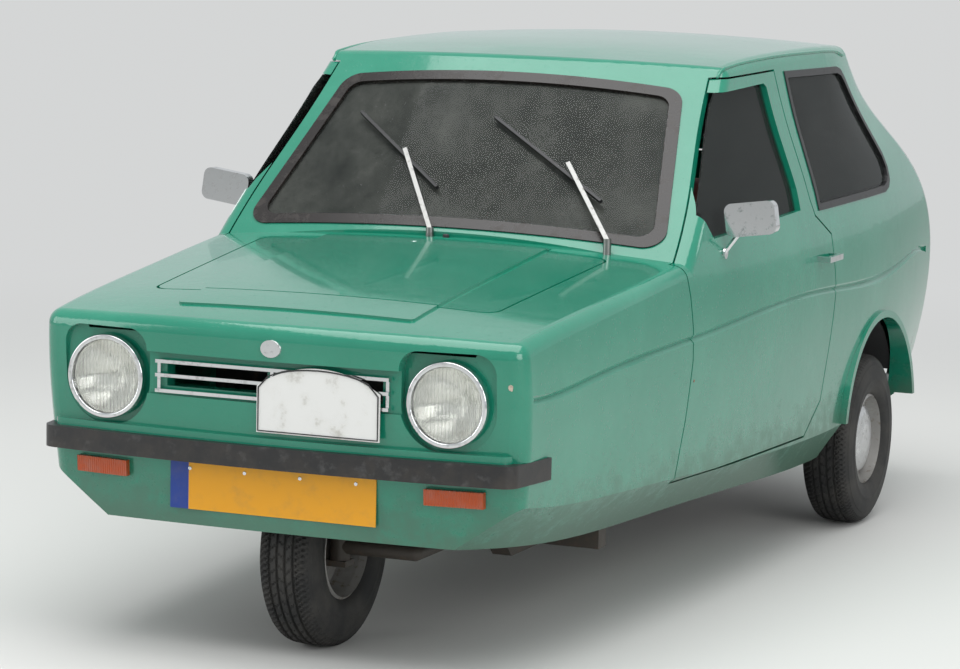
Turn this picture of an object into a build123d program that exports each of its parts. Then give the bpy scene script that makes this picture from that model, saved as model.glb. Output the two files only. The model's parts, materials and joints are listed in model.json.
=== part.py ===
from build123d import *
import math
import os

os.makedirs("parts", exist_ok=True)

# A small three-wheeled saloon: one steered wheel in the nose, a live axle behind, a moulded plastic
# body on a ladder frame. Millimetres, X to the car's left, Y to its tail, Z up, origin on the ground
# midway along the car. A place called s is a distance behind the foremost point of the front bumper.

# Driving sizes of the car
length = 3327.0
wheelbase = 2159.0
front_axle_s = 332.5
rear_axle_s = front_axle_s + wheelbase
half_track = 617.0
axle_z = 240.0
wall = 20.0                 # body moulding with its inner skin
door_thick = 38.0
gap = 5.0                   # shut gap round doors, lid and hatch
seat_clearance = 0.3        # between parts that rest on each other


def y(s):
    return s - length / 2


def at(x, s, z, shape):
    return Pos(x, y(s), z) * shape


def block(x0, x1, s0, s1, z0, z1):
    return at((x0 + x1) / 2, (s0 + s1) / 2, (z0 + z1) / 2, Box(x1 - x0, s1 - s0, z1 - z0))


def rod_x(x0, x1, s, z, r):
    return at((x0 + x1) / 2, s, z, Rot(0, 90, 0) * Cylinder(r, x1 - x0))


def rod_y(x, s0, s1, z, r):
    return at(x, (s0 + s1) / 2, z, Rot(90, 0, 0) * Cylinder(r, s1 - s0))


def rod_z(x, s, z0, z1, r):
    return at(x, s, (z0 + z1) / 2, Cylinder(r, z1 - z0))


def both_sides(shape):
    return [shape, mirror(shape, about=Plane.YZ)]


def write(shapes, node):
    solids = []
    for shape in shapes if isinstance(shapes, (list, tuple)) else [shapes]:
        solids += [s for s in shape.solids() if s.volume > 20]
    whole = solids[0] if len(solids) == 1 else Compound(children=solids)
    export_step(whole, f"parts/{node}.step")


def side_prism(points, x0, x1):
    """Solid between two heights along X whose outline is a list of (s, z) points."""
    outline = make_face(Polyline(*[(y(s), z) for s, z in points], close=True))
    return extrude(Plane(origin=(x0, 0, 0), x_dir=(0, 1, 0), z_dir=(1, 0, 0)) * outline, x1 - x0)


# Body outline seen from above, one row for each height.
# z, nose s, nose half width, half width at the waist, widest half width, tail half width, tail s
body_rows = [
    (200, 60, 566, 664, 688, 575, 3120),
    (340, 46, 584, 668, 692, 600, 3180),
    (520, 34, 602, 672, 700, 636, 3235),
    (700, 17, 607, 673, 704, 654, 3250),
    (880, 5, 590, 657, 687, 648, 3200),
    (1066, 5, 545, 612, 640, 606, 2985),
    (1268, 5, 490, 556, 584, 556, 2700),
    (1400, 5, 452, 520, 548, 525, 2500),
]
nose_bow, tail_bow = 48, 62         # how far the face bows out between its corners
waist_s, widest_s = 1200, 2300
nose_corner, tail_corner = 45, 110  # corner radii seen from above


def body_outline(row, inset):
    z, nose_s, nose_half, waist_half, widest_half, tail_half, tail_s = row
    nose_half, waist_half = nose_half - inset, waist_half - inset
    widest_half, tail_half = widest_half - inset, tail_half - inset
    nose_y, tail_y = y(nose_s + inset), y(tail_s - inset)
    nose_point = (nose_half, nose_y + nose_bow)
    tail_point = (tail_half, tail_y - tail_bow)
    front = ThreePointArc((-nose_half, nose_y + nose_bow), (0, nose_y), nose_point)
    middle = TangentArc((widest_half, y(widest_s)), (waist_half, y(waist_s)), tangent=(0, -1))
    fore = TangentArc(middle @ 1, nose_point, tangent=middle % 1)
    aft = TangentArc((widest_half, y(widest_s)), tail_point, tangent=(0, 1))
    back = ThreePointArc(tail_point, (0, tail_y), (-tail_half, tail_y - tail_bow))
    left = [fore.edge(), middle.edge(), aft.edge()]
    right = [edge.mirror(Plane.YZ) for edge in left]
    face = Face(Wire([front.edge(), *left, back.edge(), *right]))
    nose_corners = [v for v in face.vertices() if abs(v.Y - nose_point[1]) < 1]
    face = face.fillet_2d(nose_corner, nose_corners)
    tail_corners = [v for v in face.vertices() if abs(v.Y - tail_point[1]) < 1]
    return Pos(0, 0, z) * face.fillet_2d(tail_corner - inset / 2, tail_corners)


def sides_form(inset):
    return loft([body_outline(row, inset) for row in body_rows])


# Upper surfaces seen along the car: s, height on the centre line, fall at 600 mm from it
bonnet_rows = [
    (-60, 771, 16), (60, 799, 18), (400, 846, 24), (800, 888, 28), (1300, 930, 32), (1900, 940, 32), (2700, 940, 32),
    (3500, 940, 32),
]
roof_rows = [
    (1000, 1240, 26), (1200, 1290, 26), (1500, 1347, 26), (2000, 1372, 26),
    (2450, 1368, 26), (2800, 1330, 26), (3400, 1230, 26),
]
form_half = 900     # half width of the forms that the body is cut from
fall_half = 600


def crown_section(row, inset):
    s, centre_z, fall = row
    centre_z -= inset
    edge_z = centre_z - fall * (form_half / fall_half) ** 2
    top = ThreePointArc((-form_half, edge_z), (0, centre_z), (form_half, edge_z))
    rest = Polyline((form_half, edge_z), (form_half, -50), (-form_half, -50), (-form_half, edge_z))
    return Plane(origin=(0, y(s), 0), x_dir=(1, 0, 0), z_dir=(0, -1, 0)) * make_face(top + rest)


def crown_form(rows, inset):
    return loft([crown_section(row, inset) for row in rows])


# Windscreen surface: a cone that leans back, bowed more at its top than at its foot
screen_foot = (1020, 938)           # s and z on the centre line
screen_head = (1415, 1308)
screen_foot_r, screen_head_r = 3858, 2218
screen_slope = (screen_head[0] - screen_foot[0]) / (screen_head[1] - screen_foot[1])
screen_lean = math.atan(screen_slope)


def screen_section(z, inset):
    s = screen_foot[0] + (z - screen_foot[1]) * screen_slope + inset / math.cos(screen_lean)
    share = (z - screen_foot[1]) / (screen_head[1] - screen_foot[1])
    radius = screen_foot_r + (screen_head_r - screen_foot_r) * share
    bow = form_half ** 2 / (2 * radius)
    front = ThreePointArc((-form_half, y(s + bow)), (0, y(s)), (form_half, y(s + bow)))
    back_y = y(3600)
    rest = Polyline((form_half, y(s + bow)), (form_half, back_y), (-form_half, back_y), (-form_half, y(s + bow)))
    return Pos(0, 0, z) * make_face(front + rest)


def screen_form(inset):
    return loft([screen_section(z, inset) for z in (700, 1450)])


# Underside: s, half width and height of the bottom edge, half width and height of the lower seam
belly_rows = [
    (0, 400, 318, 575, 424), (225, 490, 294, 600, 396), (700, 540, 259, 640, 372),
    (1300, 578, 245, 672, 343), (2100, 625, 228, 700, 338), (2800, 590, 275, 690, 352),
    (3327, 500, 350, 640, 430),
]
belly_reach = 120   # how far the slope is carried on past the seam


def belly_section(row, inset):
    s, edge_half, edge_z, seam_half, seam_z = row
    edge_z += inset
    seam_z += inset
    rise = (seam_z - edge_z) / (seam_half - edge_half)
    out_x, out_z = seam_half + belly_reach, seam_z + belly_reach * rise
    points = [
        (edge_half, edge_z), (out_x, out_z), (out_x + 40, 1600),
        (-out_x - 40, 1600), (-out_x, out_z), (-edge_half, edge_z),
    ]
    plane = Plane(origin=(0, y(s), 0), x_dir=(1, 0, 0), z_dir=(0, -1, 0))
    return plane * make_face(Polyline(*points, close=True))


def belly_form(inset):
    return loft([belly_section(row, inset) for row in belly_rows])


def body_form(inset):
    cabin = screen_form(inset) & crown_form(roof_rows, inset)
    return (sides_form(inset) & (crown_form(bonnet_rows, inset) + cabin)) & belly_form(inset)


def edges_where(shape, test):
    found = []
    for edge in shape.edges():
        c = edge.center()
        if edge.length > 5 and test(abs(c.X), c.Y - y(0), c.Z):
            found.append(edge)
    return found


edge_round = 36     # roof edges, pillars, bonnet shoulders and the lip of the nose


def rounded_body():
    solid = body_form(0).solid()
    upper = edges_where(solid, lambda x, s, z: z > 950 and s > 1060 and not (x < 530 and s > 2900))
    nose = edges_where(solid, lambda x, s, z: s < 130 and z > 755)
    return solid.fillet(edge_round, upper + nose).solid()


outer = rounded_body()
inner = body_form(wall).solid()


def half_width(s, z):
    """Half width of the body at a station and a height."""
    line = Edge.make_line((0, y(s), z), (form_half, y(s), z))
    hit = outer.intersect(line)
    return max(v.X for e in ([hit] if isinstance(hit, Edge) else hit) for v in e.vertices())


# Openings in the side, as (s, z) outlines
door_outline_low = [(930, 352), (985, 500), (1018, 640), (1018, 720), (1008, 800), (985, 893)]
door_outline_top = [(1377, 1255), (1410, 1282), (1487, 1300), (1850, 1305)]
door_outline_rear = [(1905, 965), (1925, 920), (2035, 862), (2050, 715), (2015, 580), (1970, 421), (1850, 340)]


def grown(points, amount):
    """The same outline moved outwards by an amount."""
    face = make_face(Polyline(*points, close=True))
    return offset(face, amount, kind=Kind.INTERSECTION)


def side_cut(points, amount, x0, x1):
    face = grown([(y(s), z) for s, z in points], amount)
    return extrude(Plane(origin=(x0, 0, 0), x_dir=(0, 1, 0), z_dir=(1, 0, 0)) * face, x1 - x0)


side_in, side_out = 380, 760
door_points = door_outline_low + door_outline_top + door_outline_rear
door_window = [
    (1188, 924), (1140, 985), (1395, 1238), (1440, 1268), (1757, 1278), (1775, 1268), (1822, 1000), (1820, 944),
]
quarter_window = [
    (1926, 1302), (2380, 1294), (2420, 1285), (2450, 1262), (2645, 1040), (2661, 1000), (2655, 965), (2630, 945),
    (2585, 934), (1960, 932),
]
seal_width = 18

door_cut = side_cut(door_points, gap, side_in, side_out) - sides_form(door_thick + gap)
door_prism = side_cut(door_points, 0, side_in, side_out)
door_pane = side_cut(door_window, 0, side_in, side_out)
quarter_cut = side_cut(quarter_window, 0, side_in, side_out)
quarter_pane = side_cut(quarter_window, -seal_width, side_in, side_out)

# Windscreen opening, drawn on the screen's own slope
screen_half_foot, screen_half_head = 576, 471
screen_low, screen_high = 928, 1298
screen_corner = 55
screen_seal = 32


def screen_prism(shrink):
    mid_z = (screen_low + screen_high) / 2
    mid_s = screen_foot[0] + (mid_z - screen_foot[1]) * screen_slope
    half = (screen_high - screen_low) / 2 / math.cos(screen_lean)
    points = [
        (-screen_half_foot, -half), (screen_half_foot, -half),
        (screen_half_head, half), (-screen_half_head, half),
    ]
    face = offset(make_face(Polyline(*points, close=True)), -shrink, kind=Kind.INTERSECTION)
    face = face.face().fillet_2d(screen_corner - shrink * 0.5, face.vertices())
    up = (0, math.sin(screen_lean), math.cos(screen_lean))
    out = (0, -math.cos(screen_lean), math.sin(screen_lean))
    plane = Plane(origin=(0, y(mid_s), mid_z), x_dir=(1, 0, 0), z_dir=out)
    return extrude(plane * face, 160, both=True)


screen_cut = screen_prism(0)
screen_pane = screen_prism(screen_seal)

# Tailgate of glass in a frame, seen from behind
hatch_low, hatch_high = 985, 1318
hatch_half_low, hatch_half_high = 530, 440
hatch_frame_width = 40


def hatch_prism(shrink):
    points = [
        (-hatch_half_low + shrink, hatch_low + shrink), (hatch_half_low - shrink, hatch_low + shrink),
        (hatch_half_high - shrink, hatch_high - shrink * 0.7), (-hatch_half_high + shrink, hatch_high - shrink * 0.7),
    ]
    face = make_face(Polyline(*points, close=True))
    face = face.face().fillet_2d(45, face.vertices())
    plane = Plane(origin=(0, y(2350), 0), x_dir=(1, 0, 0), z_dir=(0, -1, 0))
    return extrude(plane * face, -1000)


hatch_cut = hatch_prism(-gap)
hatch_body = hatch_prism(0)
hatch_pane = hatch_prism(hatch_frame_width)

# Bonnet lid, seen from above: front edge, rear edge of the sides and of the raised middle
lid_front_s, lid_rear_s, lid_middle_s = 285, 940, 966
lid_half_front, lid_half_rear, lid_middle_half = 436, 466, 299


def lid_prism(grow):
    points = [
        (-lid_half_front - grow, y(lid_front_s - grow)), (lid_half_front + grow, y(lid_front_s - grow)),
        (lid_half_rear + grow, y(lid_rear_s + grow)), (lid_middle_half + grow, y(lid_rear_s + grow)),
        (lid_middle_half + grow, y(lid_middle_s + grow)), (-lid_middle_half - grow, y(lid_middle_s + grow)),
        (-lid_middle_half - grow, y(lid_rear_s + grow)), (-lid_half_rear - grow, y(lid_rear_s + grow)),
    ]
    face = make_face(Polyline(*points, close=True)).face()
    corners = [v for v in face.vertices() if abs(v.X) > lid_middle_half + 2 * gap + 20]
    return extrude(Pos(0, 0, 700) * face.fillet_2d(40, corners), 400)


lid_cut = lid_prism(gap)
lid_body = lid_prism(0)

# Swage groove along each side: s and z of its line
swage_rows = [(110, 656), (400, 664), (700, 683), (1019, 693), (1464, 713), (2064, 713), (2700, 718), (3040, 727)]
swage_deep, swage_over, swage_under = 8, 15, 9


def swage_section(row):
    s, z = row
    x = half_width(s, z)
    points = [(x + 12, z + swage_over + 16), (x - swage_deep, z), (x + 12, z - swage_under - 10)]
    return Plane(origin=(0, y(s), 0), x_dir=(1, 0, 0), z_dir=(0, -1, 0)) * make_face(Polyline(*points, close=True))


swage = loft([swage_section(row) for row in swage_rows])

# Wheel arches
arch_r, arch_z = 322, 265
arch_lip_r, arch_lip_x = 342, 711
arch_in = 500
arch_hole = rod_x(arch_in, 760, rear_axle_s, arch_z, arch_r)
rear_floor_z = 400
rear_floor_s = 2085

# Raised middle of the bonnet, and the low hump over the engine
rise, rise_half, rise_s0, rise_s1 = 5, 299, 143, 962
hump_x, hump_s, hump_high, hump_reach = -40, 740, 13, 290
hump_z, hump_lean = 880, 0.105
hump_r = (hump_reach ** 2 + hump_high ** 2) / (2 * hump_high)
middle_plan = Pos(0, (y(rise_s0) + y(rise_s1)) / 2, 740) * Rectangle(2 * rise_half, rise_s1 - rise_s0)
middle = extrude(fillet(middle_plan.vertices(), 12), 300) & crown_form(bonnet_rows, -rise)
hump_centre = (hump_x, hump_s + hump_lean * hump_r, hump_z + rise + hump_high - hump_r)
hump = at(*hump_centre, Sphere(hump_r)) & block(-rise_half, rise_half, 400, rise_s1, 700, 1000)
bonnet_form = (middle + hump) - body_form(2)

# The moulding comes apart where its sections were bonded: nose, roof and pillars, sills and tail
belt_z = 925
nose_end_s, tail_start_s = 1024, 1990
cowl_end_s, cowl_high = 1092, 960
post_s, post_low = 1850, 780
cowl_zone = block(-900, 900, 900, cowl_end_s, 850, cowl_high)
nose_zone = block(-900, 900, -10, nose_end_s, 150, belt_z) + cowl_zone
roof_zone = block(-900, 900, 900, 3327, belt_z, 1500) - cowl_zone
post_zone = block(-900, 900, post_s, tail_start_s, post_low, belt_z)
tail_zone = block(-900, 900, tail_start_s, 3400, 150, belt_z) + post_zone
sill_zone = block(-900, 900, nose_end_s, tail_start_s, 150, belt_z) - post_zone - cowl_zone
skin = outer - inner
bulkhead_s, bulkhead_t = nose_end_s + seat_clearance, 14

# Nose: sunk grille panel, lamp recesses, number plate pocket
lamp_x, lamp_s, lamp_z = 430, 52, 642
lamp_recess_r, lamp_ring_r = 113, 98
lamp_low_z, lamp_hood_z = 530, 760     # foot and top of the hooded recess
grille_low, grille_high, grille_half, grille_s = 612, 711, 322, 46
plate_w, plate_h, plate_t = 520, 110, 3
plate_z, plate_s = 405, 44
slot_half, slot_mid = 272, 16
slot_low, slot_high = 632, 690
panel_back_s = 84           # back of the thickening behind the grille and the lamps
pocket_back_s = 66

nose = (skin & nose_zone) + bonnet_form
nose = nose + (block(-560, 560, 20, panel_back_s, 520, 750) & inner)
nose = nose + (block(-320, 320, 20, pocket_back_s, 300, 475) & inner)
pocket_face = Pos(lamp_x, (lamp_hood_z + lamp_low_z) / 2) * Rectangle(2 * lamp_recess_r, lamp_hood_z - lamp_low_z)
pocket_face = fillet(pocket_face.vertices().group_by(Axis.Y)[-1], 46)
pocket_face = fillet(pocket_face.vertices().group_by(Axis.Y)[0], lamp_recess_r - 8)
pocket_plane = Plane(origin=(0, y(-50), 0), x_dir=(1, 0, 0), z_dir=(0, -1, 0))
lamp_pocket = extrude(pocket_plane * pocket_face, -50 - lamp_s - 14)
lamp_hole = rod_y(lamp_x, lamp_s - 5, 190, lamp_z, lamp_ring_r - 14)
slot = block(slot_mid, slot_half, 0, 140, slot_low, slot_high)
grille_pocket = block(-grille_half, grille_half, -50, grille_s, grille_low, grille_high)
plate_pocket = block(-plate_w / 2 - 18, plate_w / 2 + 18, -50, plate_s + plate_t, plate_z - 150, plate_z + plate_h / 2 + 8)
wheel_bay = block(-380, 380, 76, 600, 150, 420)
engine_bay = block(-420, 420, 590, nose_end_s - 40, 150, 420)
tunnel_half, tunnel_high, tunnel_low, tunnel_wall, tunnel_step_s = 118, 418, 350, 10, 1420
tunnel_hole = block(-tunnel_half, tunnel_half, 960, tunnel_step_s, 150, tunnel_high) + \
    block(-tunnel_half, tunnel_half, tunnel_step_s, rear_floor_s + 20, 150, tunnel_low)
nose = nose - both_sides(lamp_pocket) - both_sides(lamp_hole) - both_sides(slot)
nose = nose - [grille_pocket, plate_pocket, wheel_bay, engine_bay, tunnel_hole, lid_cut, screen_cut]
write(nose - both_sides(door_cut) - both_sides(swage), "nose_body")

roof = (skin & roof_zone) - screen_cut - hatch_cut - both_sides(door_cut) - both_sides(quarter_cut)
write(roof, "roof_and_pillars")

sills = ((skin & sill_zone) - both_sides(door_cut) - both_sides(swage)) - tunnel_hole
tunnel_out = tunnel_half + tunnel_wall
tunnel_end_s = tunnel_step_s + tunnel_wall
tunnel = block(-tunnel_out, tunnel_out, bulkhead_s + bulkhead_t + seat_clearance, tunnel_end_s, 200, tunnel_high + tunnel_wall)
tunnel = tunnel + block(-tunnel_out, tunnel_out, tunnel_end_s, rear_floor_s - 10, 200, tunnel_low + tunnel_wall)
tunnel = (tunnel & inner) - tunnel_hole
write([sills, tunnel], "sills_and_floor")

rear_cavity = block(-545, 545, rear_floor_s, 3152, 150, rear_floor_z)
lip = rod_x(600, arch_lip_x, rear_axle_s, arch_z, arch_lip_r) - arch_hole
lip = (lip & block(500, 760, 2000, 3000, 330, 700)) - outer
tail = (skin & tail_zone) - both_sides(door_cut) - both_sides(arch_hole) - both_sides(swage)
tail = tail - [rear_cavity, tunnel_hole] - hatch_cut
write([tail] + both_sides(lip), "tail_body")

# Rear floor with its step, and tubs over the rear wheels
tub_r = arch_r + 6
tub_wall = 6
tub = rod_x(arch_in, 650, rear_axle_s, arch_z, tub_r + tub_wall) - rod_x(arch_in + tub_wall, 700, rear_axle_s, arch_z, tub_r)
tub = tub & block(400, 700, 1900, 3100, rear_floor_z, 700) & inner
rear_floor = block(-620, 620, rear_floor_s, 3150, rear_floor_z, rear_floor_z + 10) & inner
rear_floor = rear_floor - both_sides(rod_x(arch_in, 760, rear_axle_s, arch_z, tub_r + tub_wall))
rear_step = (block(-560, 560, rear_floor_s - 10, rear_floor_s, 200, rear_floor_z + 10) & inner) - tunnel_hole
write([rear_floor + rear_step + tub + mirror(tub, about=Plane.YZ)], "rear_floor")

# Bulkhead between engine bay and cabin, with the dashboard behind it
cabin_half = 590
bulkhead = (block(-cabin_half, cabin_half, bulkhead_s, bulkhead_s + bulkhead_t, 200, 890) & inner) - tunnel_hole
write(bulkhead, "bulkhead")
dash_s = bulkhead_s + bulkhead_t + seat_clearance
dash_points = [
    (dash_s, 848), (1105, 856), (1160, 895), (1262, 880), (1285, 840), (1270, 770), (1200, 735), (dash_s, 735),
]
dash = side_prism(dash_points, -cabin_half, cabin_half)
write(dash, "dashboard")

# Doors, each a whole thickness of door with its window cut out
door_skin = (outer & door_prism) - sides_form(door_thick) - door_pane - swage
door_glass_form = (sides_form(16) & side_cut(door_window, -seat_clearance, side_in, side_out)) - sides_form(21)
quarter_seal_form = (sides_form(-3) & (quarter_cut - quarter_pane)) - sides_form(14)
quarter_glass_form = (sides_form(6) & quarter_pane) - sides_form(11)

for side, name in ((1, "left"), (-1, "right")):
    def placed(shape):
        return shape if side > 0 else mirror(shape, about=Plane.YZ)
    write(placed(door_skin), f"door_{name}")
    write(placed(door_glass_form), f"door_glass_{name}")
    mirror_foot = rod_x(half_width(1240, 884), 664, 1240, 884, 14)
    arm_foot, arm_tip = Vector(658, y(1240), 884), Vector(708, y(1240), 952)
    arm_run = arm_tip - arm_foot
    arm = extrude(Plane(origin=arm_foot, z_dir=arm_run) * Circle(5.5), arm_run.length)
    head = at(728, 1240, 975, Rot(0, -8, 0) * Box(132, 30, 84))
    head = fillet(head.edges().filter_by(Axis.Y), 20)
    grip = block(half_width(1980, 808) - 2, half_width(1980, 808) + 36, 1902, 2016, 800, 815)
    grip = grip - block(600, half_width(1980, 808) + 24, 1916, 2002, 790, 830) & block(0, 800, 1900, 2018, 795, 820)
    write([placed((mirror_foot + arm + head) - outer), placed(grip - outer)], f"mirror_and_handle_{name}")

write(both_sides(quarter_seal_form), "quarter_seals")
write(both_sides(quarter_glass_form), "quarter_glasses")

# Windscreen
write((screen_form(-4) & (screen_cut - screen_pane)) - screen_form(14), "windscreen_seal")
write((screen_form(4) & screen_pane) - screen_form(10), "windscreen")

# Tailgate
write((skin & hatch_body) - hatch_pane, "hatch_frame")
hatch_pane = hatch_pane & block(-600, 600, 2500, 3300, 900, 1400)
write((sides_form(6) & hatch_pane) - sides_form(11), "hatch_glass")

# Bonnet lid
write((skin + bonnet_form) & lid_body, "bonnet_lid")

# Grille bars
bar_z = (690, 658, 622)
bar_half = 294
bars = []
for z in bar_z:
    bars.append(block(-bar_half, bar_half, 27, 35, z - 4, z + 4))
posts = [block(x - 4, x + 4, 35, grille_s, slot_low - 14, slot_high + 4) for x in (-bar_half + 6, 0, bar_half - 6)]
grille = bars[0]
for piece in bars[1:] + posts:
    grille = grille + piece
write(grille, "grille_bars")

# Headlamps: pressed bowl, chrome ring and domed glass
bowl = rod_y(lamp_x, lamp_s + 4, lamp_s + 90, lamp_z, lamp_ring_r - 16)
bowl = bowl + rod_y(lamp_x, lamp_s, lamp_s + 14 - seat_clearance, lamp_z, lamp_ring_r - 8)
ring = rod_y(lamp_x, lamp_s - 16, lamp_s, lamp_z, lamp_ring_r) - rod_y(lamp_x, lamp_s - 17, lamp_s + 1, lamp_z, lamp_ring_r - 12)
ring = fillet(ring.edges().filter_by(GeomType.CIRCLE).group_by(Axis.Y)[0], 4)
dome_r = 260
glass = (at(lamp_x, lamp_s - 18 + dome_r, lamp_z, Sphere(dome_r)) & rod_y(lamp_x, lamp_s - 40, lamp_s, lamp_z, lamp_ring_r - 12))
write(both_sides(bowl), "headlamp_bowls")
write(both_sides(ring), "headlamp_rings")
write(both_sides(glass), "headlamp_glasses")

# Bumpers: black strip in front of a body-coloured moulding
bumper_half, bumper_bow, bumper_end_s, bumper_end_half = 592, 36, 205, 619
strip_low, strip_high, strip_t = 466, 517, 20


def bumper_area(inset):
    """Area seen from above between the bumper's face and a line across the car behind it."""
    half, front_y = bumper_half - inset, y(0) + inset
    front = ThreePointArc((-half, front_y + bumper_bow), (0, front_y), (half, front_y + bumper_bow))
    end_half = bumper_end_half - inset
    side = Polyline((half, front_y + bumper_bow), (end_half, y(bumper_end_s)), (-end_half, y(bumper_end_s)),
                    (-half, front_y + bumper_bow))
    face = make_face(front + side).face()
    corners = [v for v in face.vertices() if v.Y < y(bumper_end_s) - 20]
    return face.fillet_2d(38 - inset * 0.6, corners)


strip = extrude(Pos(0, 0, strip_low) * (bumper_area(0) - bumper_area(strip_t)), strip_high - strip_low) - outer
moulding_low = extrude(Pos(0, 0, strip_low - 3) * bumper_area(strip_t), strip_high - strip_low + 20) - outer
write(strip, "front_bumper_strip")
write(moulding_low, "front_bumper")
turn = Rot(0, 0, 180)
rear_strip_low = 498
rear_strip = turn * extrude(Pos(0, 0, rear_strip_low) * (bumper_area(0) - bumper_area(strip_t)), 48) - outer
rear_moulding = turn * extrude(Pos(0, 0, rear_strip_low - 3) * bumper_area(strip_t), 68) - outer
write(rear_strip, "rear_bumper_strip")
write(rear_moulding, "rear_bumper")

# Lamps on the skin
indicator = (block(376, 514, 0, 120, 411, 448) & sides_form(-14)) - sides_form(0)
write(both_sides(indicator), "front_indicators")
tail_lamp = (block(380, 600, 3000, 3327, 612, 692) & sides_form(-16)) - sides_form(0)
write(both_sides(tail_lamp), "tail_lamps")

# Number plates and the event plate, all blank
front_plate = block(-plate_w / 2, plate_w / 2, plate_s, plate_s + plate_t, plate_z - plate_h / 2, plate_z + plate_h / 2)
rear_plate_z = 640
rear_pad_s = 3252
rear_plate = block(-plate_w / 2, plate_w / 2, rear_pad_s, rear_pad_s + plate_t, rear_plate_z - plate_h / 2,
                   rear_plate_z + plate_h / 2)
rear_pad = block(-plate_w / 2 + 40, plate_w / 2 - 40, 3200, rear_pad_s, rear_plate_z - 40, rear_plate_z + 40) - outer
write([front_plate, rear_plate + rear_pad], "number_plates")
event_half, event_low, event_high, event_crown = 153, 548, 655, 703
event_face = make_face(
    Polyline((-event_half, event_high), (-event_half, event_low), (event_half, event_low), (event_half, event_high))
    + ThreePointArc((-event_half, event_high), (0, event_crown), (event_half, event_high)))
event_s = 18
event_plate = extrude(Plane(origin=(124, y(event_s), 0), x_dir=(1, 0, 0), z_dir=(0, -1, 0)) * event_face, -4)
write(event_plate, "event_plate")

# Wipers: arm from its spindle up the screen, and a blade that lies on the glass
screen_out = (0, -math.cos(screen_lean), math.sin(screen_lean))


def on_screen(x, z, stand_off):
    s = screen_foot[0] + (z - screen_foot[1]) * screen_slope
    share = (z - screen_foot[1]) / (screen_head[1] - screen_foot[1])
    radius = screen_foot_r + (screen_head_r - screen_foot_r) * share
    s += x * x / (2 * radius)
    return Vector(x, y(s), z) + Vector(*screen_out) * stand_off


def bar_between(a, b, wide, thick):
    run = b - a
    plane = Plane(origin=a, x_dir=run.cross(Vector(*screen_out)), z_dir=run)
    return extrude(plane * Rectangle(wide, thick), run.length)


arms, blades = [], []
# spindle x, arm end x and z, blade low end x and z, blade high end x and z
spindle_s, spindle_top = 992, 924
wiper_rows = [(-35, -190, 1092, -62, 1013, -366, 1177), (440, 262, 1080, 379, 1002, 17, 1184)]
for spindle_x, end_x, end_z, low_x, low_z, high_x, high_z in wiper_rows:
    foot = Vector(spindle_x, y(spindle_s), spindle_top)
    tip = on_screen(end_x, end_z, 20)
    arm = bar_between(foot, tip, 11, 6)
    spindle = rod_z(spindle_x, spindle_s, 860, spindle_top + 5, 10)
    arms.append((arm + spindle) - outer)
    blades.append(bar_between(on_screen(low_x, low_z, 9), on_screen(high_x, high_z, 9), 8, 11))
write(arms, "wiper_arms")
write(blades, "wiper_blades")

# Ladder frame under the floor, with a hoop over the front wheel that carries the spring
rail_x, rail_w, rail_low, rail_high = 300, 50, 178, 226
nose_kick, tail_kick = 130, 115     # how far the rails rise beside the front wheel and over the axle
rail_under = [
    (130, rail_low + nose_kick), (560, rail_low + nose_kick), (700, rail_low), (2125, rail_low),
    (2255, rail_low + tail_kick), (2730, rail_low + tail_kick), (2860, rail_low + 60), (3120, rail_low + 60),
]
rail_over = [
    (130, rail_high + nose_kick), (585, rail_high + nose_kick), (725, rail_high), (2100, rail_high),
    (2230, rail_high + tail_kick), (2755, rail_high + tail_kick), (2885, rail_high + 60), (3120, rail_high + 60),
]
members = []      # straight lengths, welded end to end
for corners in zip(rail_under, rail_under[1:], rail_over[1:], rail_over):
    members += both_sides(side_prism(list(corners), rail_x - rail_w / 2, rail_x + rail_w / 2))
between = rail_x - rail_w / 2
pivot_s, pivot_high = 720, 262
crosses = [block(-between, between, s, s + 50, rail_low + 8, rail_high - 8) for s in (1400, 2040)]
pivot_cross = block(-between, between, pivot_s, pivot_s + 50, rail_low + 8, pivot_high)
rear_cross = block(-between, between, 3070, 3120, rail_low + 66, rail_high + 54)
tow_hole_r, tow_spacing = 8.5, 90
tow_hole_z = (rail_low + rail_high) / 2 + 60
tow_holes = [rod_y(side * tow_spacing / 2, 3000, 3200, tow_hole_z, tow_hole_r) for side in (1, -1)]
hoop_s, hoop_low, hoop_high = 420, 600, 640
hoop = both_sides(block(rail_x - rail_w / 2, rail_x + rail_w / 2, hoop_s - 25, hoop_s + 25, rail_high + nose_kick, hoop_high))
hoop += [block(-rail_x, rail_x, hoop_s - 25, hoop_s + 25, hoop_low, hoop_high)]
outriggers = both_sides(block(rail_x, 480, 880, 930, rail_low, rail_high) + block(430, 480, 880, 930, rail_high, 330))
outriggers += both_sides(block(rail_x - 24, rail_x + 24, 1200, 1260, rail_high, 330))
outriggers += both_sides(block(rail_x - 24, rail_x + 24, 1960, 2020, rail_high, 330))
body_mounts = Compound(children=[s for piece in outriggers for s in piece.solids()]) - outer
write(hoop[0] + hoop[1] + hoop[2], "spring_hoop")
write(members + crosses + [pivot_cross, rear_cross - tow_holes, body_mounts], "ladder_frame")

# Engine and gearbox as plain blocks, and the shaft to the rear axle
engine_low, engine_high = 290, 650
engine = block(-160, 160, 660, 950, engine_low, engine_high)
engine = engine + block(-150, 150, pivot_s + 5, pivot_s + 45, pivot_high + seat_clearance, engine_low)
gearbox_points = [(950, 258), (950, 410), (1080, 400), (1240, 345), (1400, 335), (1400, 262)]
gearbox = side_prism(gearbox_points, -95, 95)
write(engine + gearbox, "engine_and_gearbox")
shaft_z = 290
shaft_a, shaft_b = Vector(0, y(1403), shaft_z), Vector(0, y(rear_axle_s - 104), axle_z + 8)
shaft = extrude(Plane(origin=shaft_a, z_dir=shaft_b - shaft_a) * Circle(26), (shaft_b - shaft_a).length)
write(shaft, "propshaft")

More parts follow.
